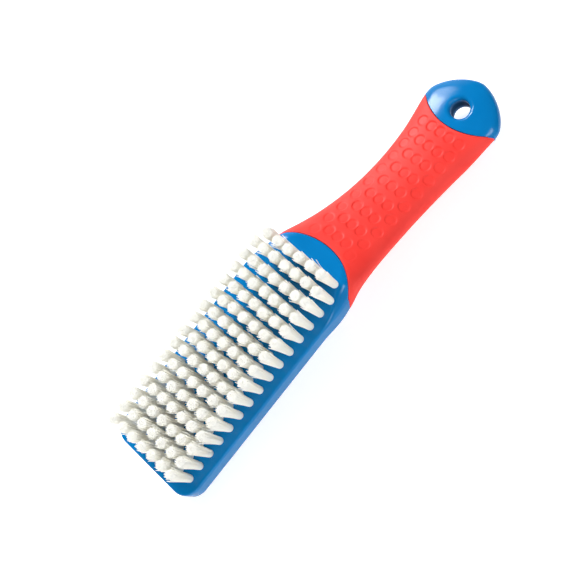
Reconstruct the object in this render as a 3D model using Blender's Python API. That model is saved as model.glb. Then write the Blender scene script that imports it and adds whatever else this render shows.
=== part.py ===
"""A long handled shoe brush, lying on its back with the bristles up.

One blue moulding is block, cranked handle core and hanging eye. A red soft sleeve covers the core.
Sixteen rows of bristle tufts stand in the face of the block, the last row staggered beside the handle.
Lengths run along X from toe to eye. The face of the block is Z = 0 until the brush is laid down.
"""

from math import atan2, cos, pi, sin, sqrt

import bmesh
import bpy
from mathutils import Matrix, Vector

# Tuft field
ROWS = 15
COLUMNS = 7
ROW_PITCH = 0.0080
COLUMN_PITCH = 0.0073
LAST_ROW_STEP = 0.0075
TUFT_LENGTH = 0.0220
ROOT_RADIUS = 0.0019
ROOT_HEIGHT = 0.0035
ROOT_SIDES = 8
TIP_RADIUS = 0.0026
STRAND_SPREAD = 0.0009

# Slice of the face that each row is rooted in
SLICE_THICKNESS = 0.0030
SLICE_END_MARGIN = 0.0036
LAST_SLICE_MARGIN = 0.0024
CLEARANCE = 0.0003

# Block
HEAD_THICKNESS = 0.0110
TOE_MARGIN = 0.0105
SIDE_MARGIN = 0.0071
FACE_MARGIN = 0.0026
TOE_CORNER_RADIUS = 0.0100
FACE_EDGE_RADIUS = 0.0016
BACK_EDGE_RADIUS = 0.0030
NECK_EDGE_RADIUS = 0.0080
NECK_EDGE_RUN = 0.0230

# Handle, from the end of the flat face to the widest place of the eye
HANDLE_DROP = 0.0259
HANDLE_RUN = 0.1060
DROP_START_REACH = 0.0085
DROP_END_REACH = 0.0675
HANDLE_THICKNESS = 0.0180
HEEL_RUN = 0.0280
ROUNDING_RUN = 0.0220
WAIST_WIDTH = 0.0382
WAIST_RUN = 0.0560
NECK_SWEEP_RADIUS = 0.225
EYE_SWEEP_RADIUS = 0.250
OUTLINE_SOFTNESS = 0.0030
OVAL_POWER = 2.3

# Eye with its hanging hole
EYE_WIDTH = 0.0480
EYE_LENGTH = 0.0200
EYE_THICKNESS = 0.0135
EYE_TAPER_RUN = 0.0240
EYE_OUTLINE_POWER = 1.65
EYE_EDGE_POWER = 3.0
HOLE_RADIUS = 0.0053
HOLE_LIP = 0.0024
HOLE_TO_END = 0.0183

# Soft sleeve between its two curved ends
GRIP_WALL = 0.0024
NECK_LINE_RUN = 0.0118
NECK_LINE_BULGE = 0.0135
NECK_LINE_LEAN = 0.45
CAP_LINE_TO_END = 0.0293
CAP_LINE_BULGE = 0.0092

# Fineness of the round stretches
CORNER_POINTS = 8
TOE_STEPS = 8
END_STEPS = 8
STATION_STEP = 0.0062
ARC_STEPS = 16
HOLE_SIDES = 24
LIP_STEPS = 3
END_SHARE = 0.998

# Places along the brush that follow from the sizes
FIRST_ROW_X = -(ROWS - 1) / 2 * ROW_PITCH
LAST_ROW_X = -FIRST_ROW_X + LAST_ROW_STEP
TOE_X = FIRST_ROW_X - TOE_MARGIN
FACE_END_X = LAST_ROW_X + FACE_MARGIN
HEEL_X = FACE_END_X - HEEL_RUN
WAIST_X = FACE_END_X + WAIST_RUN
EYE_X = FACE_END_X + HANDLE_RUN
END_X = EYE_X + EYE_LENGTH
HOLE_X = END_X - HOLE_TO_END
NECK_LINE_X = FACE_END_X + NECK_LINE_RUN
CAP_LINE_X = END_X - CAP_LINE_TO_END
HEAD_HALF_WIDTH = (COLUMNS - 1) / 2 * COLUMN_PITCH + SIDE_MARGIN


def smooth_min(a, b, softness):
    """The lower of two lengths, with the corner between them rounded."""
    overlap = max(softness - abs(a - b), 0.0) / softness
    return min(a, b) - overlap * overlap * softness / 4


def ease(x, start, end):
    """0 before start, 1 after end, level at both."""
    t = min(max((x - start) / (end - start), 0.0), 1.0)
    return t * t * (3 - 2 * t)


def sag(distance, radius):
    """How far an arc of this radius leaves its tangent at this distance."""
    return radius - sqrt(max(radius * radius - distance * distance, 0.0))


def handle_drop(x):
    """Depth of the top line under the face: one cubic curve, level at both of its ends."""
    low, high = 0.0, 1.0
    for _ in range(40):
        t = (low + high) / 2
        along = 3 * t * (1 - t) ** 2 * DROP_START_REACH + t ** 3 * HANDLE_RUN
        along += 3 * t * t * (1 - t) * (HANDLE_RUN - DROP_END_REACH)
        if along < x - FACE_END_X:
            low = t
        else:
            high = t
    t = (low + high) / 2
    return HANDLE_DROP * (3 * t * t * (1 - t) + t ** 3)


def half_width(x):
    """Half of the outline's width: toe corner, straight block, waist between two arcs, eye."""
    if x < TOE_X + TOE_CORNER_RADIUS:
        return HEAD_HALF_WIDTH - sag(TOE_X + TOE_CORNER_RADIUS - x, TOE_CORNER_RADIUS)
    sweep = NECK_SWEEP_RADIUS if x < WAIST_X else EYE_SWEEP_RADIUS
    waist = WAIST_WIDTH / 2 + sag(x - WAIST_X, sweep)
    width = smooth_min(HEAD_HALF_WIDTH, waist, OUTLINE_SOFTNESS) if x < WAIST_X else waist
    past = max(x - EYE_X, 0.0) / EYE_LENGTH
    eye = EYE_WIDTH / 2 * (1 - past ** EYE_OUTLINE_POWER) ** (1 / EYE_OUTLINE_POWER)
    return smooth_min(width, eye, OUTLINE_SOFTNESS) if x > WAIST_X else width


def thickness(x):
    """Full thickness: block, thicker handle, thinner eye."""
    grown = HEAD_THICKNESS + (HANDLE_THICKNESS - HEAD_THICKNESS) * ease(x, HEEL_X, FACE_END_X)
    return grown + (EYE_THICKNESS - HANDLE_THICKNESS) * ease(x, EYE_X - EYE_TAPER_RUN, EYE_X)


def top_and_bottom(x):
    """Heights of the top and the bottom line, both rounded off at the toe and at the end."""
    full = thickness(x)
    top = -handle_drop(x)
    middle = top - full / 2
    past = max(x - EYE_X, 0.0) / EYE_LENGTH
    half = full / 2 * (1 - past ** EYE_EDGE_POWER) ** (1 / EYE_EDGE_POWER)
    from_toe = x - TOE_X
    top_round = sag(max(FACE_EDGE_RADIUS - from_toe, 0.0), FACE_EDGE_RADIUS)
    bottom_round = sag(max(BACK_EDGE_RADIUS - from_toe, 0.0), BACK_EDGE_RADIUS)
    return middle + half - top_round, middle - half + bottom_round


def section(x, inset):
    """One closed ring across the brush: a box with rounded edges, whose roundings grow into an oval."""
    top, bottom = top_and_bottom(x)
    top, bottom = top - inset, bottom + inset
    width = half_width(x) - inset
    middle, half = (top + bottom) / 2, (top - bottom) / 2
    softened = ease(x, FACE_END_X - NECK_EDGE_RUN, FACE_END_X)
    oval = ease(x, FACE_END_X, FACE_END_X + ROUNDING_RUN)
    power = 2 + (OVAL_POWER - 2) * oval
    ring = []
    for quarter in range(4):
        side = 1 if quarter in (0, 3) else -1
        up = 1 if quarter < 2 else -1
        radius = FACE_EDGE_RADIUS if up > 0 else BACK_EDGE_RADIUS
        radius = min(radius + (NECK_EDGE_RADIUS - radius) * softened, half, width)
        across = radius + (width - radius) * oval
        upward = radius + (half - radius) * oval
        for step in range(CORNER_POINTS):
            box_share = step / (CORNER_POINTS - 1)
            oval_share = (step + 0.5) / CORNER_POINTS
            turn = (quarter + box_share + (oval_share - box_share) * oval) * pi / 2
            y = side * (width - across + across * abs(cos(turn)) ** (2 / power))
            z = middle + up * (half - upward + upward * abs(sin(turn)) ** (2 / power))
            ring.append(Vector((x, y, z)))
    return ring


def stations():
    """Places of the rings: close together at toe and end, evenly spaced from heel to eye."""
    toe = [TOE_X + TOE_CORNER_RADIUS * (1 - cos(k / TOE_STEPS * pi / 2)) for k in range(TOE_STEPS + 1)]
    count = round((EYE_X - HEEL_X) / STATION_STEP)
    run = [HEEL_X + (EYE_X - HEEL_X) * k / count for k in range(count + 1)]
    last = EYE_LENGTH * END_SHARE
    end = [EYE_X + last * sin(k / END_STEPS * pi / 2) for k in range(1, END_STEPS + 1)]
    return toe + run + end


def new_object(name, bm, *materials):
    """Closes the bmesh into a mesh object with its faces pointing out."""
    bmesh.ops.recalc_face_normals(bm, faces=bm.faces)
    mesh = bpy.data.meshes.new(name)
    bm.to_mesh(mesh)
    bm.free()
    for material in materials:
        mesh.materials.append(material)
    obj = bpy.data.objects.new(name, mesh)
    bpy.context.scene.collection.objects.link(obj)
    return obj


def loft(name, places, inset, material):
    """A solid skinned over the brush's sections at these places."""
    bm = bmesh.new()
    rings = [[bm.verts.new(point) for point in section(x, inset)] for x in places]
    count = len(rings[0])
    for near, far in zip(rings, rings[1:]):
        for k in range(count):
            bm.faces.new((near[k], near[(k + 1) % count], far[(k + 1) % count], far[k]))
    bm.faces.new(rings[0])
    bm.faces.new(rings[-1])
    return new_object(name, bm, material)


def prism(name, outline, low, high, material):
    """A plan outline raised from low to high. Each point leans along X by its own slope."""
    bm = bmesh.new()
    floor = [bm.verts.new((x + lean * low, y, low)) for x, y, lean in outline]
    roof = [bm.verts.new((x + lean * high, y, high)) for x, y, lean in outline]
    for k in range(len(outline)):
        after = (k + 1) % len(outline)
        bm.faces.new((floor[k], floor[after], roof[after], roof[k]))
    bm.faces.new(floor)
    bm.faces.new(roof)
    return new_object(name, bm, material)


def curved_line(apex_x, bulge, lean, towards_end, gap):
    """Points of a sleeve end: an arc across the brush, moved off by the gap, and its straight run-outs."""
    side_x = apex_x - bulge * towards_end
    chord = half_width(side_x)
    radius = (chord * chord + bulge * bulge) / (2 * bulge)
    centre_x = apex_x - radius * towards_end
    half_angle = atan2(chord, abs(side_x - centre_x))
    reach = radius + gap
    points = []
    for k in range(ARC_STEPS + 1):
        turn = half_angle * (2 * k / ARC_STEPS - 1)
        points.append((centre_x + reach * cos(turn) * towards_end, reach * sin(turn), lean))
    outside = 2 * HEAD_HALF_WIDTH
    return [(points[0][0], -outside, lean)] + points + [(points[-1][0], outside, lean)]


def grip_zone(name, gap, material):
    """The stretch of handle that the sleeve covers."""
    neck = curved_line(NECK_LINE_X, NECK_LINE_BULGE, NECK_LINE_LEAN, 1, gap)
    cap = curved_line(CAP_LINE_X, CAP_LINE_BULGE, 0, -1, gap)
    depth = HANDLE_DROP + 2 * HANDLE_THICKNESS
    return prism(name, neck + cap[::-1], -depth, HEAD_THICKNESS, material)


def hole_cutter(name, material):
    """A turned pin with a flared lip at both ends, square to the eye."""
    top, bottom = top_and_bottom(HOLE_X)
    half = (top - bottom) / 2
    profile = [(HOLE_RADIUS, 0.0)]
    for k in range(LIP_STEPS + 1):
        turn = k / LIP_STEPS * pi / 2
        profile.append((HOLE_RADIUS + HOLE_LIP * (1 - cos(turn)), half - HOLE_LIP + HOLE_LIP * sin(turn)))
    profile.append((HOLE_RADIUS + HOLE_LIP, 2 * half))
    profile = [(r, -z) for r, z in profile[:0:-1]] + profile
    bm = bmesh.new()
    rings = []
    for radius, height in profile:
        turns = [2 * pi * k / HOLE_SIDES for k in range(HOLE_SIDES)]
        rings.append([bm.verts.new((radius * cos(a), radius * sin(a), height)) for a in turns])
    for low, high in zip(rings, rings[1:]):
        for k in range(HOLE_SIDES):
            bm.faces.new((low[k], low[(k + 1) % HOLE_SIDES], high[(k + 1) % HOLE_SIDES], high[k]))
    bm.faces.new(rings[0])
    bm.faces.new(rings[-1])
    cutter = new_object(name, bm, material)
    cutter.location = (HOLE_X, 0, (top + bottom) / 2)
    return cutter


def row_places():
    """For each row: its place, its tufts' places across, and how far its slice runs to toe and to handle."""
    half_pitch = ROW_PITCH / 2
    last_half = LAST_ROW_STEP / 2
    rows = []
    for row in range(ROWS):
        across = [(column - (COLUMNS - 1) / 2) * COLUMN_PITCH for column in range(COLUMNS)]
        handle_side = last_half if row == ROWS - 1 else half_pitch
        rows.append((FIRST_ROW_X + row * ROW_PITCH, across, half_pitch, handle_side))
    across = [(column - (COLUMNS - 2) / 2) * COLUMN_PITCH for column in range(COLUMNS - 1)]
    rows.append((LAST_ROW_X, across, last_half, LAST_SLICE_MARGIN))
    return rows


def pocket_cutter(name, material):
    """The stepped recess in the face that all the slices fill."""
    rows = row_places()
    start = rows[0][0] - rows[0][2] - CLEARANCE / 2
    step = rows[-1][0] - rows[-1][2] + CLEARANCE / 2
    end = rows[-1][0] + rows[-1][3] + CLEARANCE / 2
    wide = rows[0][1][-1] + SLICE_END_MARGIN + CLEARANCE
    narrow = rows[-1][1][-1] + SLICE_END_MARGIN + CLEARANCE
    outline = [(start, -wide, 0), (step, -wide, 0), (step, -narrow, 0), (end, -narrow, 0)]
    outline += [(x, -y, 0) for x, y, _ in outline[::-1]]
    depth = SLICE_THICKNESS + CLEARANCE
    return prism(name, outline, -depth, HEAD_THICKNESS, material)


def add_tuft(bm, x, y, ring):
    """A round root on the slice that parts into four leaning strands, one for each quarter."""
    turns = [2 * pi * k / ROOT_SIDES for k in range(ROOT_SIDES)]
    neck = [bm.verts.new((x + ROOT_RADIUS * cos(a), y + ROOT_RADIUS * sin(a), ROOT_HEIGHT)) for a in turns]
    for k in range(ROOT_SIDES):
        after = (k + 1) % ROOT_SIDES
        bm.faces.new((ring[k], ring[after], neck[after], neck[k])).material_index = 1
    heart = bm.verts.new((x, y, ROOT_HEIGHT))
    shrink = (TIP_RADIUS - STRAND_SPREAD) / ROOT_RADIUS
    for k in range(0, ROOT_SIDES, 2):
        foot = [heart, neck[k], neck[k + 1], neck[(k + 2) % ROOT_SIDES]]
        lean = Vector((cos(turns[k + 1]), sin(turns[k + 1]), 0)) * STRAND_SPREAD
        tip = []
        for vert in foot:
            flat = Vector((vert.co.x - x, vert.co.y - y, 0)) * shrink + lean
            tip.append(bm.verts.new((x + flat.x, y + flat.y, TUFT_LENGTH)))
        for j in range(4):
            after = (j + 1) % 4
            bm.faces.new((foot[j], foot[after], tip[after], tip[j])).material_index = 1
        bm.faces.new(tip).material_index = 1


def tuft_row(name, place, blue, white):
    """One row: a slice of the face with its tufts fused to it."""
    x, across, toe_side, handle_side = place
    x_low = x - toe_side + CLEARANCE / 2
    x_high = x + handle_side - CLEARANCE / 2
    y_side = across[-1] + SLICE_END_MARGIN
    bm = bmesh.new()
    corners = [(x_low, -y_side), (x_high, -y_side), (x_high, y_side), (x_low, y_side)]
    low = [bm.verts.new((a, b, -SLICE_THICKNESS)) for a, b in corners]
    high = [bm.verts.new((a, b, 0)) for a, b in corners]
    bm.faces.new(low)
    for k in range(4):
        after = (k + 1) % 4
        bm.faces.new((low[k], low[after], high[after], high[k]))
    rings = []
    for y in across:
        turns = [2 * pi * k / ROOT_SIDES for k in range(ROOT_SIDES)]
        rings.append([bm.verts.new((x + ROOT_RADIUS * cos(a), y + ROOT_RADIUS * sin(a), 0)) for a in turns])
    edges = [bm.edges.get((high[k], high[(k + 1) % 4])) for k in range(4)]
    for ring in rings:
        edges += [bm.edges.new((ring[k], ring[(k + 1) % ROOT_SIDES])) for k in range(ROOT_SIDES)]
    bmesh.ops.triangle_fill(bm, use_beauty=True, use_dissolve=False, edges=edges, normal=(0, 0, 1))
    for y, ring in zip(across, rings):
        add_tuft(bm, x, y, ring)
    return new_object(name, bm, blue, white)


def boolean(obj, operation, other):
    """Adds a live Boolean whose other solid is only a guide."""
    modifier = obj.modifiers.new(other.name, "BOOLEAN")
    modifier.operation = operation
    modifier.solver = "EXACT"
    modifier.object = other
    other.hide_render = True
    other.display_type = "WIRE"


def plastic(name, color, roughness):
    """A plain plastic of this colour."""
    material = bpy.data.materials.new(name)
    material.use_nodes = True
    shader = material.node_tree.nodes["Principled BSDF"]
    shader.inputs["Base Color"].default_value = (*color, 1)
    shader.inputs["Roughness"].default_value = roughness
    shader.inputs["Metallic"].default_value = 0
    return material


def resting_tilt(points):
    """Angle of the line that the brush rests on, from the toe's back edge to the back of the handle."""
    lower = []
    for x, z in sorted(points):
        while len(lower) > 1:
            (ax, az), (bx, bz) = lower[-2:]
            if (bx - ax) * (z - az) - (bz - az) * (x - ax) > 0:
                break
            lower.pop()
        lower.append((x, z))
    (ax, az), (bx, bz) = max(zip(lower, lower[1:]), key=lambda pair: pair[1][0] - pair[0][0])
    return atan2(bz - az, bx - ax)


def main():
    for obj in list(bpy.data.objects):
        bpy.data.objects.remove(obj, do_unlink=True)

    blue = plastic("blue moulding", (0.0, 0.155, 0.49), 0.22)
    red = plastic("red soft grip", (0.86, 0.045, 0.035), 0.50)
    white = plastic("white bristle", (0.84, 0.82, 0.72), 0.45)

    places = stations()
    core_start = NECK_LINE_X - NECK_LINE_BULGE - NECK_LINE_LEAN * HANDLE_THICKNESS - GRIP_WALL
    core_end = CAP_LINE_X + CAP_LINE_BULGE + GRIP_WALL
    core_run = [core_start] + [x for x in places if core_start < x < core_end] + [core_end]

    body = loft("block_handle_and_eye", places, 0, blue)
    boolean(body, "DIFFERENCE", grip_zone("guide_grip_stretch", 0, blue))
    boolean(body, "UNION", loft("guide_handle_core", core_run, GRIP_WALL, blue))
    boolean(body, "DIFFERENCE", pocket_cutter("guide_face_recess", blue))
    boolean(body, "DIFFERENCE", hole_cutter("guide_hanging_hole", blue))

    grip = loft("soft_grip", places, 0, red)
    bore = GRIP_WALL - CLEARANCE
    boolean(grip, "INTERSECT", grip_zone("guide_grip_length", CLEARANCE, red))
    bore_run = [core_start - CLEARANCE] + core_run[1:-1] + [core_end + CLEARANCE]
    boolean(grip, "DIFFERENCE", loft("guide_grip_bore", bore_run, bore, red))

    for number, place in enumerate(row_places(), start=1):
        tuft_row(f"tuft_row_{number:02d}", place, blue, white)

    for obj in (body, grip):
        obj.data.shade_smooth()
        obj.data.set_sharp_from_angle(angle=pi / 5)

    tilt = resting_tilt([(vert.co.x, vert.co.z) for vert in body.data.vertices])
    laid = Matrix.Rotation(tilt, 4, "Y")
    corners = []
    for obj in bpy.context.scene.objects:
        if not obj.hide_render:
            corners += [laid @ vert.co for vert in obj.data.vertices]
    low = [min(corner[axis] for corner in corners) for axis in range(3)]
    high = [max(corner[axis] for corner in corners) for axis in range(3)]

    brush = bpy.data.objects.new("brush_laid_down", None)
    bpy.context.scene.collection.objects.link(brush)
    for obj in list(bpy.context.scene.objects):
        if obj is not brush:
            obj.parent = brush
    brush.rotation_euler = (0, tilt, 0)
    brush.location = (-(low[0] + high[0]) / 2, -(low[1] + high[1]) / 2, -low[2])


main()
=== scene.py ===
"""A long handled shoe brush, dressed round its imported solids, in the frame of the photograph.

One blue moulding with a hanging eye, a red soft sleeve with rows of shallow discs, and 111 tufts of
white nylon. Lengths run along X from toe to eye, and the face of the block is Z = 0, until the brush
is laid down where the solids lie.
"""

from math import atan2, cos, pi, radians, sin

import bpy
import numpy as np
from mathutils import Matrix, Vector


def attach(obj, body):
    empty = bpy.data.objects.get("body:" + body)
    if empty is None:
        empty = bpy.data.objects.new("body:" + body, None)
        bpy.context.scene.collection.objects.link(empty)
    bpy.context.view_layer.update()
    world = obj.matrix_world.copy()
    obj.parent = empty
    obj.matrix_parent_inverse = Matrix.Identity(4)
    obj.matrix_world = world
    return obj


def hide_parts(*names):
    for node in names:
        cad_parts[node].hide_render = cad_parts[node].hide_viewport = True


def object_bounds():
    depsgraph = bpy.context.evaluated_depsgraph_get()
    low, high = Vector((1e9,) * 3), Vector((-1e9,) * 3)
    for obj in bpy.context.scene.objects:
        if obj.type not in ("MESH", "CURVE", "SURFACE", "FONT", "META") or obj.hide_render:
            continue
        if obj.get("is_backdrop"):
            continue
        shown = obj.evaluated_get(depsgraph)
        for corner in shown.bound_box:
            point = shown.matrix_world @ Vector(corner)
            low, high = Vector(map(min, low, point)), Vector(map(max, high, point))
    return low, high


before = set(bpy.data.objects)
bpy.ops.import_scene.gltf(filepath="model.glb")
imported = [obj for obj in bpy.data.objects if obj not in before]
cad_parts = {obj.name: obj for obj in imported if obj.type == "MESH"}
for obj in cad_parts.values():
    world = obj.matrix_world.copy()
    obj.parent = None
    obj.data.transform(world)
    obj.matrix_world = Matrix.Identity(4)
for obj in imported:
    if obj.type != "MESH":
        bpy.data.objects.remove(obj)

cad_low, cad_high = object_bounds()

# The sizes of the solids, in metres
ROWS = 15
COLUMNS = 7
ROW_PITCH = 0.0080
COLUMN_PITCH = 0.0073
LAST_ROW_STEP = 0.0075
TUFT_LENGTH = 0.0220
HEAD_THICKNESS = 0.0110
TOE_MARGIN = 0.0105
SIDE_MARGIN = 0.0071
FACE_MARGIN = 0.0026
TOE_CORNER_RADIUS = 0.0100
FACE_EDGE_RADIUS = 0.0016
BACK_EDGE_RADIUS = 0.0030
NECK_EDGE_RADIUS = 0.0080
NECK_EDGE_RUN = 0.0230
HANDLE_DROP = 0.0259
HANDLE_RUN = 0.1060
DROP_START_REACH = 0.0085
DROP_END_REACH = 0.0675
HANDLE_THICKNESS = 0.0180
HEEL_RUN = 0.0280
ROUNDING_RUN = 0.0220
WAIST_WIDTH = 0.0382
WAIST_RUN = 0.0560
NECK_SWEEP_RADIUS = 0.225
EYE_SWEEP_RADIUS = 0.250
OUTLINE_SOFTNESS = 0.0030
OVAL_POWER = 2.3
EYE_WIDTH = 0.0480
EYE_LENGTH = 0.0200
EYE_THICKNESS = 0.0135
EYE_TAPER_RUN = 0.0240
EYE_OUTLINE_POWER = 1.65
EYE_EDGE_POWER = 3.0
HOLE_RADIUS = 0.0053
HOLE_LIP = 0.0024
HOLE_TO_END = 0.0183
GRIP_WALL = 0.0024
GRIP_CLEARANCE = 0.0003
NECK_LINE_RUN = 0.0118
NECK_LINE_BULGE = 0.0135
NECK_LINE_LEAN = 0.45
CAP_LINE_TO_END = 0.0293
CAP_LINE_BULGE = 0.0092

FIRST_ROW_X = -(ROWS - 1) / 2 * ROW_PITCH
LAST_ROW_X = -FIRST_ROW_X + LAST_ROW_STEP
TOE_X = FIRST_ROW_X - TOE_MARGIN
FACE_END_X = LAST_ROW_X + FACE_MARGIN
HEEL_X = FACE_END_X - HEEL_RUN
WAIST_X = FACE_END_X + WAIST_RUN
EYE_X = FACE_END_X + HANDLE_RUN
END_X = EYE_X + EYE_LENGTH
HOLE_X = END_X - HOLE_TO_END
NECK_LINE_X = FACE_END_X + NECK_LINE_RUN
CAP_LINE_X = END_X - CAP_LINE_TO_END
HEAD_HALF_WIDTH = (COLUMNS - 1) / 2 * COLUMN_PITCH + SIDE_MARGIN

# Fineness of the dressed surfaces. The curve pull draws steps to where a section turns
HALF_STEPS = 160
QUARTER_SAMPLES = 96
CURVE_PULL = 0.0025
MOST_TURN = 0.3
TABLE_STEP = 0.00025
DROP_SAMPLES = 4001

# Rows along the moulding and the sleeve. The toe's rows crowd to its end by their power
TOE_ROWS = 25
TOE_ROW_POWER = 1.15
BLOCK_ROW_STEP = 0.0016
NECK_ROWS = 90
CORE_ROWS = 40
CAP_ROWS = 73
EYE_ROWS = 77
SLEEVE_ROWS = 270
BORE_ROWS = 16
# Where the rows start to crowd to the eye's end, and how much of the way to it the last of them goes
EYE_START_X = EYE_X - 0.002
LAST_ROW_SHARE = 0.9996
# The run in which the surfaces under the sleeve are worked out
UNDER_START_X = TOE_X + 0.030
UNDER_END_X = END_X - 0.004

# The step between moulding and sleeve
SEAM_GAP = 0.00032
BLUE_LIP = 0.00028
BLUE_LIP_STEPS = 5
SLEEVE_PROUD = 0.00008
SLEEVE_LIP = 0.00032
SLEEVE_LIP_STEPS = 6
CORE_INSET = GRIP_WALL
BORE_INSET = GRIP_WALL - GRIP_CLEARANCE

# The hanging hole: the skin sinks this far into it, a little inside its wall, and a pin cuts the rest
POT_DEPTH = 0.0006
POT_INSET = 0.00004
PIN_INSET = POT_INSET / 2
PIN_REACH = 0.020
PIN_SIDES = 160
# The bore is dull and painted darker as shade in full this far each way from its middle, and by this share
# at its lips
BORE_DARK_HALF = 0.0016
BORE_SHARE_AT_LIP = 0.35
BORE_TOLERANCE = 0.0001

# Shallow discs in the sleeve. The grid is pulled to their rims, where the wall stands
DISC_RADIUS = 0.00278
DISC_DEPTH = 0.00050
DISC_WALL = 0.00078
DISC_CROWN = 0.00008
DISC_PULL = 0.00095
DISC_PULL_POWER = 1.7
DISC_START = 0.0832
DISC_PITCH = 0.00938
DISC_ROWS = 9
DISC_ACROSS = 0.0060
DISC_OUTER = 0.0123
OUTER_DISCS = (0.0795, 0.0883, 0.0971, 0.1065, 0.1159, 0.1253, 0.1344, 0.1430, 0.1504, 0.1583)
# How deep the faint ones are, as shares: the first row, and the outer ones from the neck on
FIRST_DISC_SHARE = 0.70
OUTER_DISC_SHARE = 0.35
OUTER_DISC_RISE = 0.25
OUTER_DISC_MOST = 0.85
FLOOR_GAIN = 1.2
LEAST_UPRIGHT = 0.2

# Holes that the tufts stand in
TUFT_HOLE = 0.00195
TUFT_HOLE_LIP = 0.00015
TUFT_HOLE_DEPTH = 0.0030
TUFT_HOLE_SIDES = 28
CUTTER_RISE = 0.002

# Bristles. Each tuft leans, stands in its hole from its foot up and widens by the power
SEED = 11
TUFT_LEAN = 0.00020
TUFT_FOOT = -0.7 * TUFT_HOLE_DEPTH
SPREAD_POWER = 1.3
STRAND_RADIUS = 0.00018
STRAND_SIDES = 5
STRAND_END = 0.65
# Edges that turn by more than this, in radians, are shaded sharp
SHARP_ANGLE = 1.0
# The heart, at shares of the tuft's height, with its widths there
HEART_ROOT = 0.00158
HEART_TIP = 0.00242
HEART_SIDES = 16
HEART_LEVELS = (0.0, 0.35, 0.70, 0.940, 0.968)
HEART_WIDTHS = (1.0, 1.0, 1.0, 1.0, 0.66)
HEART_TONE = 0.5
# The coat of long strands round it
COAT = 36
COAT_LEVELS = (0.0, 0.34, 0.70, 0.992, 1.0)
COAT_STANDOFF = 0.9 * STRAND_RADIUS
COAT_TURN_SPREAD = 0.16
COAT_REACH_SPREAD = 0.00013
COAT_TIP_SPREAD = 0.00010
COAT_BEND_SPREAD = 0.00007
COAT_SHORTNESS = 0.00058
COAT_SHORTNESS_SPREAD = 0.00052
# Some strands of the coat reach out a little, and of a few picked ones some reach out more
STRAY_CHANCE = 0.26
STRAY_REACH = (0.0002, 0.0008)
PICKED = 3
PICKED_CHANCE = 0.25
PICKED_REACH = (0.0008, 0.0015)
# The short strands that show on top, in a spiral of even spacing
TIPS = 96
GOLDEN_ANGLE = 2.399963
TIP_LOW_LEVEL = 0.94
TIP_BEND_SHARE = 0.93
TIP_SPREAD = 0.00012
TIP_DOME = 0.00090
TIP_HEIGHT_SPREAD = 0.00022
TIP_TOP_RADIUS = HEART_TIP + 0.3 * STRAND_RADIUS
TIP_LOW_RADIUS = HEART_TIP - 1.4 * STRAND_RADIUS
TIP_LOW_LEAN = 0.9

# Colours, each pair with a noise between its two tones
BLUE_TONES = ((0.000, 0.168, 0.445), (0.001, 0.190, 0.495))
# Painted shade: the darker blue for the inside of the hanging hole
BORE_PAINTED_SHADE_BLUE = (0.002, 0.060, 0.150)
RED_TONES = ((0.87, 0.036, 0.027), (0.92, 0.050, 0.039))
# Nylon: each strand between its two tones, with painted shade that makes the tufts creamier and darker low
# down, and a painted lighter top
NYLON_TONES = ((0.950, 0.920, 0.825), (0.985, 0.965, 0.890))
NYLON_PAINTED_LIGHT_TOP = (0.994, 0.986, 0.950)
FLOOR_WHITE = (0.88, 0.88, 0.88)
FLOOR_GLOW = 0.57

# Studio. Places and directions are the brush's own, before it is laid down
FLOOR_HALF = 6
FLOOR_CLEARANCE = 0.00005
ROOM_LIGHT = 0.14
LIGHT_COLOUR = (0.970, 0.988, 1.0)
LAMP_WAY = (0.175, 0.750, 0.638)
LAMP_AIM = (0.055, 0.0, 0.0)
LAMP_DISTANCE = 0.9
LAMP_WIDTH = 0.24
LAMP_HEIGHT = 0.34
LAMP_WATTS = 5.2
# Each glow of the walls: its direction, its strength, and the degrees from it where it is full and where
# it ends. They lie low beside the toe, broad along the front, low behind, round the lamp and high in front
WALL_GLOWS = (((-0.540, -0.830, 0.100), 4.0, 10, 32),
              ((-0.050, -0.930, 0.360), 0.95, 8, 44),
              ((0.371, 0.900, 0.247), 1.2, 8, 32),
              (LAMP_WAY, 10.6, 6, 17),
              ((0.180, -0.590, 0.790), 10.0, 0, 13))
DIFFUSE_BOUNCES = 10

# Camera, solved from where the photo shows the tufts, the outline, the seams and the hole
CAMERA_PLACE = (0.07357592, -0.24009961, 0.49200712)
CAMERA_AHEAD = (-0.04734598, 0.43886361, -0.89730546)
CAMERA_UPWARD = (0.78462526, 0.57226427, 0.23848859)
CAMERA_LENS = 68.75
CAMERA_SENSOR = 36
CAMERA_CLIP = (0.01, 20)


def smooth_min(a, b, softness):
    """The lower of two lengths, with the corner between them rounded."""
    overlap = np.maximum(softness - np.abs(a - b), 0.0) / softness
    return np.minimum(a, b) - overlap * overlap * softness / 4


def ease(x, start, end):
    """0 before start, 1 after end, level at both."""
    t = np.clip((x - start) / (end - start), 0.0, 1.0)
    return t * t * (3 - 2 * t)


def sag(distance, radius):
    """How far an arc of this radius leaves its tangent at this distance."""
    return radius - np.sqrt(np.maximum(radius * radius - distance * distance, 0.0))


def handle_drop(x):
    """Depth of the top line under the face: one cubic curve, level at both of its ends."""
    t = np.linspace(0, 1, DROP_SAMPLES)
    along = 3 * t * (1 - t) ** 2 * DROP_START_REACH + t ** 3 * HANDLE_RUN
    along += 3 * t * t * (1 - t) * (HANDLE_RUN - DROP_END_REACH)
    return np.interp(x - FACE_END_X, along, HANDLE_DROP * (3 * t * t * (1 - t) + t ** 3))


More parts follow.
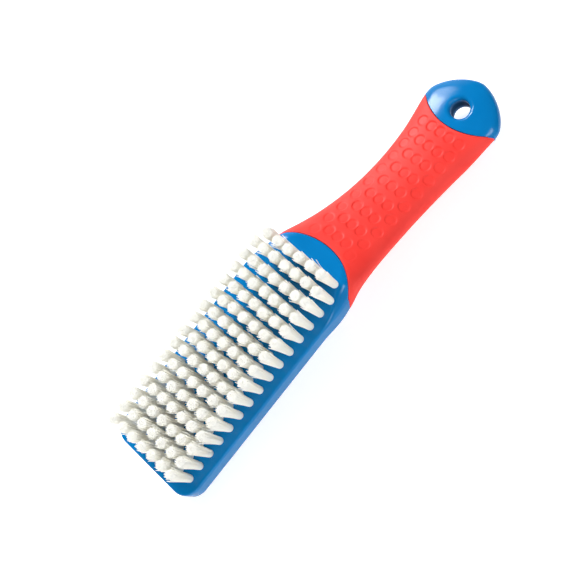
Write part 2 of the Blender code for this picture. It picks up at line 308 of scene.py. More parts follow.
def half_width(x):
    """Half of the outline's width: toe corner, straight block, waist between two arcs, eye."""
    toe = HEAD_HALF_WIDTH - sag(np.maximum(TOE_X + TOE_CORNER_RADIUS - x, 0), TOE_CORNER_RADIUS)
    sweep = np.where(x < WAIST_X, NECK_SWEEP_RADIUS, EYE_SWEEP_RADIUS)
    waist = WAIST_WIDTH / 2 + sag(x - WAIST_X, sweep)
    past = np.maximum(x - EYE_X, 0.0) / EYE_LENGTH
    eye = EYE_WIDTH / 2 * np.maximum(1 - past ** EYE_OUTLINE_POWER, 0) ** (1 / EYE_OUTLINE_POWER)
    return smooth_min(waist, np.where(x < WAIST_X, toe, eye), OUTLINE_SOFTNESS)


def top_and_bottom(x):
    """Heights of the top and the bottom line, both rounded off at the toe and at the end."""
    full = HEAD_THICKNESS + (HANDLE_THICKNESS - HEAD_THICKNESS) * ease(x, HEEL_X, FACE_END_X)
    full += (EYE_THICKNESS - HANDLE_THICKNESS) * ease(x, EYE_X - EYE_TAPER_RUN, EYE_X)
    middle = -handle_drop(x) - full / 2
    past = np.maximum(x - EYE_X, 0.0) / EYE_LENGTH
    half = full / 2 * np.maximum(1 - past ** EYE_EDGE_POWER, 0) ** (1 / EYE_EDGE_POWER)
    from_toe = x - TOE_X
    top_round = sag(np.maximum(FACE_EDGE_RADIUS - from_toe, 0.0), FACE_EDGE_RADIUS)
    bottom_round = sag(np.maximum(BACK_EDGE_RADIUS - from_toe, 0.0), BACK_EDGE_RADIUS)
    return middle + half - top_round, middle - half + bottom_round


def raw_half_sections(x, inset):
    """A half ring for each x, from the middle of the top round the +Y side to the middle of the bottom."""
    top, bottom = top_and_bottom(x)
    top, bottom = top - inset, bottom + inset
    width = half_width(x) - inset
    middle, half = (top + bottom) / 2, (top - bottom) / 2
    softened = ease(x, FACE_END_X - NECK_EDGE_RUN, FACE_END_X)
    oval = ease(x, FACE_END_X, FACE_END_X + ROUNDING_RUN)
    power = (2 / (2 + (OVAL_POWER - 2) * oval))[:, None]
    ys, zs = [np.zeros_like(x)[:, None]], [top[:, None]]
    turns = np.linspace(pi / 2, 0, QUARTER_SAMPLES)
    for up, edge in ((1, FACE_EDGE_RADIUS), (-1, BACK_EDGE_RADIUS)):
        radius = np.minimum(np.minimum(edge + (NECK_EDGE_RADIUS - edge) * softened, half), width)
        across = (radius + (width - radius) * oval)[:, None]
        upward = (radius + (half - radius) * oval)[:, None]
        turn = (turns if up > 0 else turns[::-1])[None, :]
        ys.append(width[:, None] - across + across * np.abs(np.cos(turn)) ** power)
        zs.append(middle[:, None] + up * (half[:, None] - upward + upward * np.abs(np.sin(turn)) ** power))
    ys.append(np.zeros_like(x)[:, None])
    zs.append(bottom[:, None])
    return np.hstack(ys), np.hstack(zs)


def half_sections(x, inset):
    """The half rings with their steps spread evenly, but closer where they turn."""
    y, z = raw_half_sections(x, inset)
    dy, dz = np.diff(y, axis=1), np.diff(z, axis=1)
    length = np.hypot(dy, dz)
    heading = np.unwrap(np.arctan2(dz, dy), axis=1)
    turning = np.abs(np.diff(heading, axis=1, prepend=heading[:, :1]))
    turning[length < 1e-9] = 0
    measure = np.cumsum(length + CURVE_PULL * np.minimum(turning, MOST_TURN), axis=1)
    measure = np.hstack([np.zeros((len(x), 1)), measure])
    shares = np.linspace(0, 1, HALF_STEPS + 1)
    even_y = np.empty((len(x), HALF_STEPS + 1))
    even_z = np.empty_like(even_y)
    for row in range(len(x)):
        places = shares * measure[row, -1]
        even_y[row] = np.interp(places, measure[row], y[row])
        even_z[row] = np.interp(places, measure[row], z[row])
    return even_y, even_z


class Skin:
    """The brush's outer surface at one inset, as a table by x and by the ring's own step."""

    def __init__(self, inset, low, high):
        self.x = np.arange(low, high + TABLE_STEP / 2, TABLE_STEP)
        y, z = half_sections(self.x, inset)
        self.y = np.hstack([y, -y[:, -2:0:-1]])
        self.z = np.hstack([z, z[:, -2:0:-1]])
        self.columns = self.y.shape[1]

    def at(self, x):
        """Points for an array of x, one column for each step of the ring."""
        # Just short of the last row, because each row is joined to the next
        place = np.clip((x - self.x[0]) / TABLE_STEP, 0, len(self.x) - 1.001)
        row = place.astype(int)
        share = place - row
        column = np.arange(self.columns)[None, :]
        y = self.y[row, column] * (1 - share) + self.y[row + 1, column] * share
        z = self.z[row, column] * (1 - share) + self.z[row + 1, column] * share
        return np.dstack([x, y, z])

    def crossing(self, apex_x, bulge, lean, towards_end):
        """For each step of the ring, the x at which the surface meets a sleeve end."""
        side_x = apex_x - bulge * towards_end
        chord = float(half_width(np.array([side_x]))[0])
        radius = (chord * chord + bulge * bulge) / (2 * bulge)
        centre_x = apex_x - radius * towards_end
        reach = np.sqrt(np.maximum(radius ** 2 - self.y ** 2, 0))
        line = np.where(np.abs(self.y) < chord, centre_x + towards_end * reach, side_x)
        past = self.x[:, None] - lean * self.z - line
        row = np.clip((past > 0).argmax(axis=0), 1, len(self.x) - 1)
        column = np.arange(self.columns)
        before, after = past[row - 1, column], past[row, column]
        return self.x[row - 1] + TABLE_STEP * before / (before - after)


def grid_normals(points):
    """Outward unit normals of a grid whose columns run round the brush and whose rows run along it."""
    round_it = np.roll(points, -1, axis=1) - np.roll(points, 1, axis=1)
    normal = np.cross(np.gradient(points, axis=0), round_it)
    return normal / np.maximum(np.linalg.norm(normal, axis=2, keepdims=True), 1e-12)


def grid_faces(rows, columns, closed_rows):
    """Quads of a grid that is closed round the brush, and along it too if asked."""
    index = np.arange(rows * columns).reshape(rows, columns)
    after = np.roll(index, -1, axis=1)
    if closed_rows:
        far, far_after = np.roll(index, -1, axis=0), np.roll(after, -1, axis=0)
        return np.stack([index, far, far_after, after], axis=-1).reshape(-1, 4).tolist()
    return np.stack([index[:-1], index[1:], after[1:], after[:-1]], axis=-1).reshape(-1, 4).tolist()


def add_object(name, data):
    """A new object in the scene."""
    obj = bpy.data.objects.new(name, data)
    bpy.context.scene.collection.objects.link(obj)
    return obj


def new_object(name, points, faces, material):
    """A smooth shaded mesh object from points and faces."""
    mesh = bpy.data.meshes.new(name)
    mesh.from_pydata(points.reshape(-1, 3).tolist(), [], faces)
    mesh.materials.append(material)
    mesh.shade_smooth()
    mesh.update()
    return add_object(name, mesh)


def points_of(mesh):
    """The mesh's points as an array."""
    found = np.empty(len(mesh.vertices) * 3, np.float32)
    mesh.vertices.foreach_get("co", found)
    return found.reshape(-1, 3).astype(float)


def store_share(obj, name, shares):
    """Keeps one number for each point of the mesh, for its material to read."""
    stored = obj.data.attributes.new(name, "FLOAT", "POINT")
    stored.data.foreach_set("value", shares.astype(np.float32))


def cut(obj, cutter):
    """Takes the cutter's shape out of obj for good."""
    modifier = obj.modifiers.new("cut", "BOOLEAN")
    modifier.operation = "DIFFERENCE"
    modifier.solver = "MANIFOLD"
    modifier.object = cutter
    bpy.context.view_layer.update()
    evaluated = obj.evaluated_get(bpy.context.evaluated_depsgraph_get())
    mesh = bpy.data.meshes.new_from_object(evaluated)
    obj.modifiers.clear()
    old = obj.data
    obj.data = mesh
    mesh.name = obj.name
    bpy.data.meshes.remove(old)
    cutter_mesh = cutter.data
    bpy.data.objects.remove(cutter)
    bpy.data.meshes.remove(cutter_mesh)


def turned(profile, sides, centres):
    """Closed turned solids of one (radius, height) profile, one for each centre."""
    turns = np.arange(sides) / sides * 2 * pi
    points, faces = [], []
    count = len(profile)
    for cx, cy, cz in centres:
        base = len(points)
        for radius, height in profile:
            points += [(cx + radius * cos(a), cy + radius * sin(a), cz + height) for a in turns]
        for level in range(count - 1):
            for k in range(sides):
                after = (k + 1) % sides
                low, high = base + level * sides, base + (level + 1) * sides
                faces.append((low + k, low + after, high + after, high + k))
        faces.append(tuple(base + k for k in reversed(range(sides))))
        faces.append(tuple(base + (count - 1) * sides + k for k in range(sides)))
    return np.array(points), faces


def lay_down():
    """The matrix that lays the brush where its solids lie, from where three of their rows are."""
    def row_points(number):
        return points_of(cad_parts[f"tuft_row_{number:02d}"].data)

    run = row_points(ROWS - 1).mean(axis=0) - row_points(1).mean(axis=0)
    turn = Matrix.Rotation(-atan2(run[2], run[0]), 4, "Y")
    back = np.array(turn.inverted().to_3x3())
    middle_row = row_points(ROWS // 2 + 1) @ back.T
    low, high = middle_row.min(axis=0), middle_row.max(axis=0)
    home = Vector(((low[0] + high[0]) / 2, (low[1] + high[1]) / 2, high[2] - TUFT_LENGTH))
    return Matrix.Translation(turn @ home) @ turn


def places_across(count):
    """The y of each tuft in a row of this many."""
    return [(k - (count - 1) / 2) * COLUMN_PITCH for k in range(count)]


def row_places():
    """For each row, its x and its tufts' places across."""
    rows = [(FIRST_ROW_X + row * ROW_PITCH, places_across(COLUMNS)) for row in range(ROWS)]
    return rows + [(LAST_ROW_X, places_across(COLUMNS - 1))]


def seams(outer):
    """For each step of the ring, the x of the sleeve's end at the neck and of its end at the eye."""
    neck = outer.crossing(NECK_LINE_X, NECK_LINE_BULGE, NECK_LINE_LEAN, 1)
    cap = outer.crossing(CAP_LINE_X, CAP_LINE_BULGE, 0, -1)
    return neck, cap


def straight_rows(places, columns):
    """Rows that each keep one x all round."""
    return np.repeat(places[:, None], columns, axis=1)


def rows_between(start, end, shares):
    """Rows at these shares of the way from one x to another, which may differ round the ring."""
    return start + (end - start) * shares[:, None]


def rolled_edge(ring, normal, lip, towards_end, steps):
    """Rings that roll a skin's last ring inwards over a quarter turn."""
    rings = []
    for turn in np.linspace(0, pi / 2, steps + 1)[1:]:
        along = np.array([towards_end * lip * sin(turn), 0, 0])
        rings.append(ring + along - normal * lip * (1 - cos(turn)))
    return rings


def moulding_rings():
    """The moulding's skin, from toe to eye, which steps down to the handle's core under the sleeve."""
    outer = Skin(0.0, TOE_X, END_X)
    core = Skin(CORE_INSET, UNDER_START_X, UNDER_END_X)
    neck, cap = seams(outer)
    neck, cap = neck - SEAM_GAP / 2, cap + SEAM_GAP / 2

    round_toe = 1 - np.cos(np.linspace(0, pi / 2, TOE_ROWS, endpoint=False))
    toe = TOE_X + TOE_CORNER_RADIUS * round_toe ** TOE_ROW_POWER
    block_start = TOE_X + TOE_CORNER_RADIUS
    block_rows = round((HEEL_X - block_start) / BLOCK_ROW_STEP)
    block = np.linspace(block_start, HEEL_X, block_rows, endpoint=False)
    to_neck = rows_between(HEEL_X, neck - BLUE_LIP, np.linspace(0, 1, NECK_ROWS))
    front = outer.at(np.vstack([straight_rows(np.concatenate([toe, block]), outer.columns), to_neck]))

    from_cap = rows_between(cap + BLUE_LIP, EYE_START_X, np.linspace(0, 1, CAP_ROWS, endpoint=False))
    round_eye = np.sin(np.linspace(0, pi / 2, EYE_ROWS, endpoint=False))
    eye = EYE_START_X + (END_X - EYE_START_X) * LAST_ROW_SHARE * round_eye
    tail = outer.at(np.vstack([from_cap, straight_rows(eye, outer.columns)]))

    under = core.at(rows_between(neck, cap, np.linspace(0, 1, CORE_ROWS)))
    down = rolled_edge(front[-1], grid_normals(front)[-1], BLUE_LIP, 1, BLUE_LIP_STEPS)
    down.append((down[-1] + under[0]) / 2)
    up = rolled_edge(tail[0], grid_normals(tail)[0], BLUE_LIP, -1, BLUE_LIP_STEPS)
    up.append((up[-1] + under[-1]) / 2)
    return np.concatenate([front, down, under, up[::-1], sink_hole(tail)])


def sink_hole(points):
    """Wraps the skin over the hole's rounded lip and a little way down its wall, on both faces."""
    away = points[..., :2] - np.array([HOLE_X, 0.0])
    reach = np.hypot(away[..., 0], away[..., 1])
    arc = HOLE_LIP * pi / 2
    lip_start = HOLE_RADIUS + HOLE_LIP
    lip_end = lip_start - arc
    pot_radius = lip_end - POT_DEPTH
    turn = np.clip((lip_start - reach) / arc, 0, 1) * pi / 2
    in_wall = np.clip((lip_end - reach) / POT_DEPTH, 0, 1)
    depth = HOLE_LIP * (1 - np.cos(turn)) + in_wall * POT_DEPTH
    new_reach = np.where(reach < lip_start, lip_start - HOLE_LIP * np.sin(turn), reach) - in_wall * POT_INSET
    new_reach = np.where(reach < pot_radius, (HOLE_RADIUS - POT_INSET) * reach / pot_radius, new_reach)
    top, bottom = top_and_bottom(points[..., 0])
    upper = points[..., 2] > (top + bottom) / 2
    result = points.copy()
    share = new_reach / np.maximum(reach, 1e-9)
    result[..., 0] = HOLE_X + away[..., 0] * share
    result[..., 1] = away[..., 1] * share
    result[..., 2] += np.where(upper, -depth, depth)
    return result


def tuft_hole_cutter(material):
    """A pin for each tuft, which widens over the hole's chamfer up to just past the face."""
    past_face = TUFT_HOLE_LIP / 10
    wide = TUFT_HOLE + TUFT_HOLE_LIP + past_face
    profile = [(TUFT_HOLE, -TUFT_HOLE_DEPTH), (TUFT_HOLE, -TUFT_HOLE_LIP)]
    profile += [(wide, past_face), (wide, CUTTER_RISE)]
    centres = [(x, y, 0.0) for x, across in row_places() for y in across]
    return new_object("tuft_hole_cutter", *turned(profile, TUFT_HOLE_SIDES, centres), material)


def hanging_hole_cutter(middle_height, material):
    """A pin through the eye, with rings where the bore's dull finish and painted shade end."""
    heights = (-PIN_REACH, -BORE_DARK_HALF, BORE_DARK_HALF, PIN_REACH)
    profile = [(HOLE_RADIUS - PIN_INSET, height) for height in heights]
    pin = turned(profile, PIN_SIDES, [(HOLE_X, 0.0, middle_height)])
    return new_object("hanging_hole_cutter", *pin, material)


def mark_bore(body, middle_height):
    """Stores how much of the bore's dull finish and painted shade each point of the moulding has."""
    points = points_of(body.data)
    in_bore = np.hypot(points[:, 0] - HOLE_X, points[:, 1]) < HOLE_RADIUS + BORE_TOLERANCE
    deep = np.abs(points[:, 2] - middle_height) < BORE_DARK_HALF + BORE_TOLERANCE
    # The share of the bore's painted shade, which also makes the bore dull
    store_share(body, "bore", np.where(in_bore, np.where(deep, 1.0, BORE_SHARE_AT_LIP), 0.0))


def moulding(material):
    """Block, core and eye as one closed skin, with the tuft holes and the hanging hole cut."""
    rings = moulding_rings()
    count, columns = rings.shape[:2]
    faces = grid_faces(count, columns, closed_rows=False)
    faces.append(list(range(columns)))
    faces.append(list(range((count - 1) * columns, count * columns))[::-1])
    body = new_object("blue_moulding", rings, faces, material)
    cut(body, tuft_hole_cutter(material))
    top, bottom = top_and_bottom(np.array([HOLE_X]))
    middle_height = float(top[0] + bottom[0]) / 2
    cut(body, hanging_hole_cutter(middle_height, material))
    mark_bore(body, middle_height)
    return body


def disc_places():
    """Centres of the discs, in plan, and how deep each is."""
    places = []
    for step in range(DISC_ROWS):
        strength = 1.0 if step else FIRST_DISC_SHARE
        places += [(DISC_START + step * DISC_PITCH, y, strength) for y in (-DISC_ACROSS, 0.0, DISC_ACROSS)]
    for step, x in enumerate(OUTER_DISCS):
        strength = min(OUTER_DISC_SHARE + OUTER_DISC_RISE * step, OUTER_DISC_MOST)
        places += [(x, y, strength) for y in (-DISC_OUTER, DISC_OUTER)]
    return places


def carve_discs(points):
    """Pulls the grid towards each disc's rim, then sinks the discs along the surface's normal."""
    moved = points.copy()
    normal = grid_normals(points)
    upright = normal[..., 2] + np.where(normal[..., 2] > 0, 1e-3, -1e-3)
    follows = np.abs(normal[..., 2]) > LEAST_UPRIGHT
    depth = np.zeros(points.shape[:2])
    floor = np.zeros(points.shape[:2])
    for cx, cy, strength in disc_places():
        away = points[..., :2] - np.array([cx, cy])
        reach = np.hypot(away[..., 0], away[..., 1])
        past = reach - DISC_RADIUS
        near = np.abs(past) < DISC_PULL
        pulled = np.sign(past) * DISC_PULL * np.minimum(np.abs(past) / DISC_PULL, 1) ** DISC_PULL_POWER
        new_reach = np.where(near, DISC_RADIUS + pulled, reach)
        shift = away * ((new_reach / np.maximum(reach, 1e-9) - 1) * near)[..., None]
        rise = -(normal[..., :2] * shift).sum(axis=-1) / upright
        moved[..., :2] += shift
        moved[..., 2] += rise * follows
        inside = 1 - ease(new_reach, DISC_RADIUS - DISC_WALL / 2, DISC_RADIUS + DISC_WALL / 2)
        crown = DISC_CROWN * np.maximum(1 - (new_reach / DISC_RADIUS) ** 2, 0)
        depth = np.maximum(depth, strength * (DISC_DEPTH - crown) * inside)
        floor = np.maximum(floor, np.minimum(strength * FLOOR_GAIN, 1) * inside)
    return moved + normal * (SLEEVE_PROUD - depth)[..., None], floor


def sleeve(material):
    """The soft sleeve: a closed tube with rolled ends and shallow discs in its outside."""
    outer = Skin(0.0, TOE_X, END_X)
    bore = Skin(BORE_INSET, UNDER_START_X, UNDER_END_X)
    neck, cap = seams(outer)
    neck, cap = neck + SEAM_GAP / 2, cap - SEAM_GAP / 2
    rows = rows_between(neck + SLEEVE_LIP, cap - SLEEVE_LIP, np.linspace(0, 1, SLEEVE_ROWS))
    outside, in_disc = carve_discs(outer.at(rows))
    inside = bore.at(rows_between(cap, neck, np.linspace(0, 1, BORE_ROWS)))
    normal = grid_normals(outside)
    cap_roll = rolled_edge(outside[-1], normal[-1], SLEEVE_LIP, 1, SLEEVE_LIP_STEPS)
    cap_roll.append((cap_roll[-1] + inside[0]) / 2)
    neck_roll = rolled_edge(outside[0], normal[0], SLEEVE_LIP, -1, SLEEVE_LIP_STEPS)
    neck_roll.append((neck_roll[-1] + inside[-1]) / 2)
    points = np.concatenate([outside, cap_roll, inside, neck_roll[::-1]])
    faces = grid_faces(*points.shape[:2], closed_rows=True)
    obj = new_object("red_grip_sleeve", points, faces, material)
    floor_share = np.zeros(points.shape[:2])
    floor_share[:len(in_disc)] = in_disc
    store_share(obj, "disc_floor", floor_share.ravel())
    return obj


def strands(centres, radii, spins, tones):
    """Closed thin tubes along their centres, which are (strand, level, 3).

    There is a radius for each level, and a spin and a tone for each strand.
    """
    turns = np.arange(STRAND_SIDES) / STRAND_SIDES * 2 * pi + spins[:, None]
    rings = np.repeat(centres[:, :, None, :], STRAND_SIDES, axis=2)
    rings[..., 0] += radii[None, :, None] * np.cos(turns)[:, None, :]
    rings[..., 1] += radii[None, :, None] * np.sin(turns)[:, None, :]
    count, levels = centres.shape[:2]
    index = np.arange(count * levels * STRAND_SIDES).reshape(count, levels, STRAND_SIDES)
    after = np.roll(index, -1, axis=2)
    sides = np.stack([index[:, :-1], after[:, :-1], after[:, 1:], index[:, 1:]], axis=-1)
    faces = sides.reshape(-1, 4).tolist() + index[:, -1].tolist() + index[:, 0, ::-1].tolist()
    return rings.reshape(-1, 3), faces, np.repeat(tones, levels * STRAND_SIDES)


def spread(share):
    """How much of its widening a tuft has at this share of its height."""
    return share ** SPREAD_POWER


def height_at(level):
    """The height at this share of the way from the foot to the top."""
    return TUFT_FOOT + (TUFT_LENGTH - TUFT_FOOT) * level


def around(angle):
    """Unit directions in plan."""
    return np.stack([np.cos(angle), np.sin(angle)], axis=1)


def heart(place, lean):
    """The core that stands for a tuft's hidden strands."""
    way = around(np.arange(HEART_SIDES) / HEART_SIDES * 2 * pi)
    rings = []
    for level, width in zip(HEART_LEVELS, HEART_WIDTHS):
        radius = (HEART_ROOT + (HEART_TIP - HEART_ROOT) * spread(level)) * width
        flat = place + lean * spread(level) + radius * way
        rings.append(np.column_stack([flat, np.full(HEART_SIDES, height_at(level))]))
    index = np.arange(len(rings) * HEART_SIDES).reshape(len(rings), HEART_SIDES)
    after = np.roll(index, -1, axis=1)
    faces = np.stack([index[:-1], after[:-1], after[1:], index[1:]], axis=-1).reshape(-1, 4).tolist()
    faces += [index[-1].tolist(), index[0, ::-1].tolist()]
    return np.concatenate(rings), faces, np.full(len(rings) * HEART_SIDES, HEART_TONE)


def coat(place, lean, chance):
    """The long strands round a tuft's heart, some of which stray."""
    levels = np.array(COAT_LEVELS)
    angle = (np.arange(COAT) + chance.normal(0, COAT_TURN_SPREAD, COAT)) / COAT * 2 * pi
    way = around(angle)
    root = way * (HEART_ROOT + COAT_STANDOFF)
    stray = np.where(chance.random(COAT) < STRAY_CHANCE, chance.uniform(*STRAY_REACH, COAT), 0.0)
    picked = chance.choice(COAT, PICKED, replace=False)
    far = chance.random(PICKED) < PICKED_CHANCE
    stray[picked] = np.where(far, chance.uniform(*PICKED_REACH, PICKED), stray[picked])
    reach = HEART_TIP + COAT_STANDOFF + np.abs(chance.normal(0, COAT_REACH_SPREAD, COAT)) + stray
    tip = way * reach[:, None] + chance.normal(0, COAT_TIP_SPREAD, (COAT, 2)) + lean
    bend = chance.normal(0, COAT_BEND_SPREAD, (COAT, 2))
    height = TUFT_LENGTH - COAT_SHORTNESS - np.abs(chance.normal(0, COAT_SHORTNESS_SPREAD, COAT))
    share = spread(levels)[None, :, None]
    bowed = bend[:, None] * np.sin(levels * pi)[None, :, None]
    flat = place + root[:, None] * (1 - share) + tip[:, None] * share + bowed
    z = TUFT_FOOT + (height[:, None] - TUFT_FOOT) * levels[None, :]
    radii = STRAND_RADIUS * np.array([1, 1, 1, 1, STRAND_END])
    return strands(np.dstack([flat, z]), radii, angle, chance.random(COAT))


def tips(place, lean, chance):
    """The short strands on top of a tuft's heart, domed and a little uneven."""
    order = np.arange(TIPS)
    radial = np.sqrt((order + 0.5) / TIPS)
    angle = order * GOLDEN_ANGLE + chance.uniform(0, 2 * pi)
    way = around(angle) * radial[:, None]
    top = place + way * TIP_TOP_RADIUS + chance.normal(0, TIP_SPREAD, (TIPS, 2)) + lean
    low = place + way * TIP_LOW_RADIUS + lean * TIP_LOW_LEAN
    height = TUFT_LENGTH - TIP_DOME * radial ** 2 + chance.normal(0, TIP_HEIGHT_SPREAD, TIPS)
    low = np.column_stack([low, np.full(TIPS, height_at(TIP_LOW_LEVEL))])
    top = np.column_stack([top, height])
    bent = low + (top - low) * TIP_BEND_SHARE
    radii = STRAND_RADIUS * np.array([1, 1, STRAND_END])
    return strands(np.stack([low, bent, top], axis=1), radii, angle, chance.random(TIPS))


def tuft(x, y, chance):
    """One tuft, as points, faces and tones for each of its three parts."""
    place = np.array([x, y])
    lean = chance.normal(0, TUFT_LEAN, 2)
    return heart(place, lean), coat(place, lean, chance), tips(place, lean, chance)


def bristle_row(number, x, across, material, chance):
    """One row of tufts as one mesh."""
    points, faces, tones, base = [], [], [], 0
    for y in across:
        for part_points, part_faces, part_tones in tuft(x, y, chance):
            points.append(part_points)
            faces += [[base + k for k in face] for face in part_faces]
            tones.append(part_tones)
            base += len(part_points)
    points = np.concatenate(points)
    obj = new_object(f"bristles_{number:02d}", points, faces, material)
    store_share(obj, "strand_tone", np.concatenate(tones))
    # How far up the tuft each point is, for the nylon's painted shade low down and painted light at the top
    store_share(obj, "up_the_tuft", np.clip(points[:, 2] / TUFT_LENGTH, 0, 1))
    obj.data.set_sharp_from_angle(angle=SHARP_ANGLE)
    return obj


def new_material(name):
    """A new material, its node tree and its Principled node."""
    material = bpy.data.materials.new(name)
    material.use_nodes = True
    return material, material.node_tree, material.node_tree.nodes["Principled BSDF"]


def noise(tree, scale, detail, roughness=0.5):
    """An object-space noise whose scale is in patches for each metre."""
    place = tree.nodes.new("ShaderNodeTexCoord")
    texture = tree.nodes.new("ShaderNodeTexNoise")
    texture.inputs["Scale"].default_value = scale
    texture.inputs["Detail"].default_value = detail
    texture.inputs["Roughness"].default_value = roughness
    tree.links.new(place.outputs["Object"], texture.inputs["Vector"])
    return texture.outputs["Fac"]


def ramp(tree, source, low, high, from_low=0.3, from_high=0.7):
    """The source mapped to a range of numbers. The source range suits a noise where none is given."""
    mapped = tree.nodes.new("ShaderNodeMapRange")
    mapped.inputs["From Min"].default_value = from_low
    mapped.inputs["From Max"].default_value = from_high
    mapped.inputs["To Min"].default_value = low
    mapped.inputs["To Max"].default_value = high
    tree.links.new(source, mapped.inputs["Value"])
    return mapped.outputs["Result"]


def calculate(tree, operation, first, second):
    """A Math node on two values, each a number or another node's output."""
    node = tree.nodes.new("ShaderNodeMath")
    node.operation = operation
    for value, socket in zip((first, second), node.inputs):
        if isinstance(value, (int, float)):
            socket.default_value = value
        else:
            tree.links.new(value, socket)
    return node.outputs[0]


def two_tone(tree, source, first, second):
    """A colour between two, by the source. The first is a colour or another node's output."""
    mix = tree.nodes.new("ShaderNodeMix")
    mix.data_type = "RGBA"
    # A Mix node has its sockets for numbers, vectors and colours side by side, so these are taken by type
    start, end = (socket for socket in mix.inputs if socket.type == "RGBA")
    if isinstance(first, tuple):
        start.default_value = (*first, 1)
    else:
        tree.links.new(first, start)
    end.default_value = (*second, 1)
    tree.links.new(source, mix.inputs["Factor"])
    return next(socket for socket in mix.outputs if socket.type == "RGBA")


def attribute(tree, name):
    """A share that the mesh stores at its points."""
    stored = tree.nodes.new("ShaderNodeAttribute")
    stored.attribute_name = name
    return stored.outputs["Fac"]


def blend(tree, share, first, second):
    """The first number where the share is 0, the second where it is 1."""
    mix = tree.nodes.new("ShaderNodeMix")
    for source, name in ((share, "Factor"), (first, "A"), (second, "B")):
        tree.links.new(source, mix.inputs[name])
    return mix.outputs["Result"]


def bump(tree, shader, source, distance, strength):
    """Raises the shader's normal by the source."""
    raised = tree.nodes.new("ShaderNodeBump")
    raised.inputs["Distance"].default_value = distance
    raised.inputs["Strength"].default_value = strength
    tree.links.new(source, raised.inputs["Height"])
    tree.links.new(raised.outputs["Normal"], shader.inputs["Normal"])


def blue_plastic():
    """Glossy blue, dull in the hanging hole and painted darker there as shade."""
    material, tree, shader = new_material("blue_plastic")
    cloud = ramp(tree, noise(tree, scale=45, detail=3), low=0, high=1)
    in_bore = attribute(tree, "bore")
    # The blue is painted darker inside the bore, as shade
    colour = two_tone(tree, in_bore, two_tone(tree, cloud, *BLUE_TONES), BORE_PAINTED_SHADE_BLUE)
    fine = noise(tree, scale=900, detail=4, roughness=0.6)
    glossy = ramp(tree, fine, low=0.10, high=0.14)
    dull = ramp(tree, fine, low=0.55, high=0.65)
    rough = blend(tree, in_bore, glossy, dull)
    specular = ramp(tree, in_bore, low=0.24, high=0.05, from_low=0, from_high=1)
    tree.links.new(colour, shader.inputs["Base Color"])
    tree.links.new(rough, shader.inputs["Roughness"])
    tree.links.new(specular, shader.inputs["Specular IOR Level"])
    bump(tree, shader, noise(tree, scale=160, detail=2), distance=0.00008, strength=0.35)
    shader.inputs["IOR"].default_value = 1.49
    return material


def red_rubber():
    """Matt red with a fine grain, smoother on the floors of the discs."""
    material, tree, shader = new_material("red_grip")
    cloud = ramp(tree, noise(tree, scale=60, detail=3), low=0, high=1)
    grain = noise(tree, scale=4200, detail=3, roughness=0.6)
    floor = attribute(tree, "disc_floor")
    matt = ramp(tree, grain, low=0.50, high=0.58)
    smoother = ramp(tree, grain, low=0.46, high=0.52)
    rough = blend(tree, floor, matt, smoother)
    relief = calculate(tree, "MULTIPLY", grain, calculate(tree, "SUBTRACT", 1.0, floor))
    tree.links.new(two_tone(tree, cloud, *RED_TONES), shader.inputs["Base Color"])
    tree.links.new(rough, shader.inputs["Roughness"])
    bump(tree, shader, relief, distance=0.00006, strength=0.5)
    shader.inputs["IOR"].default_value = 1.47
    shader.inputs["Specular IOR Level"].default_value = 0.30
    return material


def white_nylon():
    """White filaments, each a little different, with painted shade that makes them creamier and darker
    towards their roots, and painted light that makes them whiter at the top.
    """
    material, tree, shader = new_material("white_bristle")
    cloud = ramp(tree, noise(tree, scale=700, detail=2), low=0, high=1)
    softer = ramp(tree, cloud, low=0.2, high=0.8, from_low=0, from_high=1)
    lower = two_tone(tree, blend(tree, cloud, attribute(tree, "strand_tone"), softer), *NYLON_TONES)
    # Painted shade and light: the colour goes from the creamier tones low on the tuft to a whiter top
    upper = ramp(tree, attribute(tree, "up_the_tuft"), low=0, high=1, from_low=0.55, from_high=1.05)
    rough = ramp(tree, noise(tree, scale=2500, detail=2), low=0.35, high=0.50)
    tree.links.new(two_tone(tree, upper, lower, NYLON_PAINTED_LIGHT_TOP), shader.inputs["Base Color"])
    tree.links.new(rough, shader.inputs["Roughness"])
    shader.inputs["IOR"].default_value = 1.53
    shader.inputs["Subsurface Weight"].default_value = 0.15
    shader.inputs["Subsurface Radius"].default_value = (1.0, 0.95, 0.80)
    shader.inputs["Subsurface Scale"].default_value = 0.0004
    return material


def floor_material():
    """Matt white that keeps the shadow, with a glow that lights nothing, so that it shows as white."""
    material, tree, shader = new_material("studio_floor")
    shader.inputs["Base Color"].default_value = (*FLOOR_WHITE, 1)
    shader.inputs["Roughness"].default_value = 0.9
    shader.inputs["Specular IOR Level"].default_value = 0.0
    rays = tree.nodes.new("ShaderNodeLightPath").outputs
    seen = calculate(tree, "MAXIMUM", rays["Is Camera Ray"], rays["Is Glossy Ray"])
    seen = calculate(tree, "MAXIMUM", seen, rays["Is Transmission Ray"])
    glow = tree.nodes.new("ShaderNodeEmission")
    glow.inputs["Color"].default_value = (1, 1, 1, 1)
    tree.links.new(calculate(tree, "MULTIPLY", seen, FLOOR_GLOW), glow.inputs["Strength"])
    both = tree.nodes.new("ShaderNodeAddShader")
    tree.links.new(shader.outputs["BSDF"], both.inputs[0])
    tree.links.new(glow.outputs["Emission"], both.inputs[1])
    tree.links.new(both.outputs[0], tree.nodes["Material Output"].inputs["Surface"])
    return material


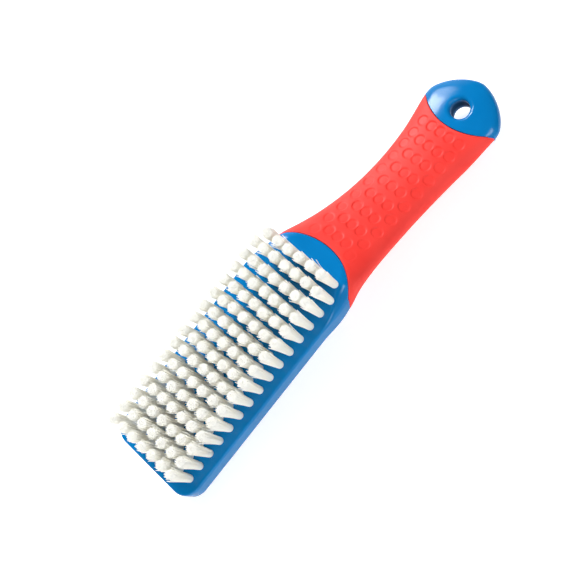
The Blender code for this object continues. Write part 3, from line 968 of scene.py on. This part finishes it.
def studio_floor():
    """A wide floor just under the lowest point."""
    lowest = min(cad_low.z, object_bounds()[0].z)
    corners = [(x * FLOOR_HALF, y * FLOOR_HALF, 0) for x, y in ((-1, -1), (1, -1), (1, 1), (-1, 1))]
    mesh = bpy.data.meshes.new("studio_floor")
    mesh.from_pydata(corners, [], [(0, 1, 2, 3)])
    mesh.materials.append(floor_material())
    floor = add_object("studio_floor", mesh)
    floor.location = (0, 0, lowest - FLOOR_CLEARANCE)
    floor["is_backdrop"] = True


def studio_world(laid):
    """Even dim light from all round, with brighter glows in some directions."""
    world = bpy.data.worlds.new("studio")
    bpy.context.scene.world = world
    world.use_nodes = True
    tree = world.node_tree
    way = tree.nodes.new("ShaderNodeTexCoord").outputs["Generated"]
    total = ROOM_LIGHT
    for direction, strength, full, end in WALL_GLOWS:
        nearness = tree.nodes.new("ShaderNodeVectorMath")
        nearness.operation = "DOT_PRODUCT"
        nearness.inputs[1].default_value = (laid.to_3x3() @ Vector(direction)).normalized()
        tree.links.new(way, nearness.inputs[0])
        glow = ramp(tree, nearness.outputs["Value"], 0, strength, cos(radians(end)), cos(radians(full)))
        glow.node.interpolation_type = "SMOOTHSTEP"
        total = calculate(tree, "ADD", glow, total)
    background = tree.nodes["Background"]
    background.inputs["Color"].default_value = (*LIGHT_COLOUR, 1)
    tree.links.new(total, background.inputs["Strength"])


def main_softbox(laid):
    """The rectangular lamp, which faces the brush."""
    lamp = bpy.data.lights.new("main_softbox", "AREA")
    lamp.shape = "RECTANGLE"
    lamp.size, lamp.size_y = LAMP_WIDTH, LAMP_HEIGHT
    lamp.energy = LAMP_WATTS
    lamp.color = LIGHT_COLOUR
    obj = add_object("main_softbox", lamp)
    aim = laid @ Vector(LAMP_AIM)
    obj.location = laid @ (Vector(LAMP_AIM) + Vector(LAMP_WAY).normalized() * LAMP_DISTANCE)
    obj.rotation_euler = (aim - obj.location).to_track_quat("-Z", "Y").to_euler()


def photo_camera(laid):
    """The camera that took the photo."""
    camera = bpy.data.cameras.new("camera")
    camera.sensor_width = CAMERA_SENSOR
    camera.lens = CAMERA_LENS
    camera.clip_start, camera.clip_end = CAMERA_CLIP
    obj = add_object("camera", camera)
    ahead = Vector(CAMERA_AHEAD)
    right = ahead.cross(Vector(CAMERA_UPWARD)).normalized()
    upward = right.cross(ahead).normalized()
    axes = Matrix((right, upward, -ahead)).transposed().to_4x4()
    obj.matrix_world = laid @ Matrix.Translation(Vector(CAMERA_PLACE)) @ axes
    bpy.context.scene.camera = obj


def studio(laid):
    """Floor, world, lamp and camera."""
    studio_floor()
    studio_world(laid)
    main_softbox(laid)
    photo_camera(laid)
    bpy.context.scene.view_settings.view_transform = "Standard"
    bpy.context.scene.cycles.diffuse_bounces = DIFFUSE_BOUNCES


def main():
    """Makes the moulding, the sleeve and the rows of bristles, and lays them down in the studio."""
    laid = lay_down()
    blue, red, white = blue_plastic(), red_rubber(), white_nylon()
    chance = np.random.default_rng(SEED)

    body = moulding(blue)
    grip = sleeve(red)
    body.data.transform(laid)
    grip.data.transform(laid)
    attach(body, "root")
    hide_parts("block_handle_and_eye")
    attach(grip, "root")
    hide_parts("soft_grip")
    for number, (x, across) in enumerate(row_places(), start=1):
        row = bristle_row(number, x, across, white, chance)
        row.data.transform(laid)
        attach(row, "root")
        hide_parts(f"tuft_row_{number:02d}")
    studio(laid)


main()
